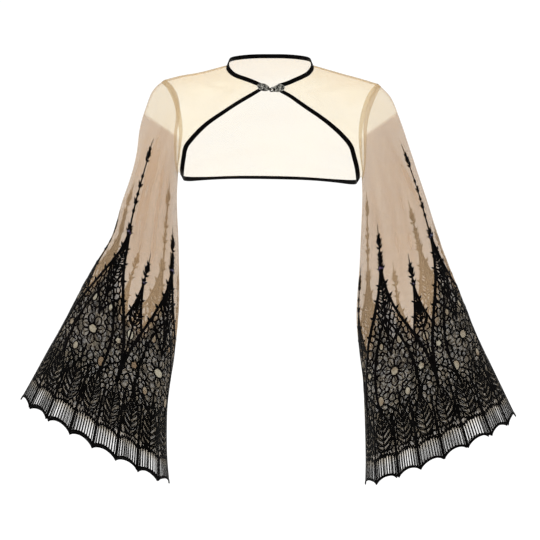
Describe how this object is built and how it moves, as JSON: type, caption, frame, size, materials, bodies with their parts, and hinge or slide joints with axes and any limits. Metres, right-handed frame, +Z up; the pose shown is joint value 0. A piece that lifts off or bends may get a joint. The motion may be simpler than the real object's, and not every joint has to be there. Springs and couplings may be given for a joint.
{
  "type": "bolero jacket",
  "caption": "Cropped sheer bolero with cut-away fronts held by one clasp under the throat and long bell sleeves ending in a scalloped corded hem.",
  "frame": {"origin": "middle of the neck opening, level with the sides of the neck, where the garment hangs from the wearer's shoulders", "axes": "+Z up, -Y to the front, +X to the wearer's left"},
  "size_m": [0.8532, 0.1944, 0.7454],
  "materials": {
    "nude_tulle": "sheer fine net, matt",
    "black_binding": "folded satin binding, low sheen",
    "black_cord": "corded satin stitch",
    "antique_silver": "cast filigree with darkened hollows"
  },
  "bodies": {
    "root": {"front_right": "nude_tulle", "front_left": "nude_tulle", "back": "nude_tulle", "sleeve_right": "nude_tulle", "sleeve_left": "nude_tulle", "neck_binding": "black_binding", "edge_binding": "black_binding", "scallop_cord_right": "black_cord", "scallop_cord_left": "black_cord", "clasp_hook": "antique_silver", "clasp_eye": "antique_silver"}
  },
  "joints": []
}
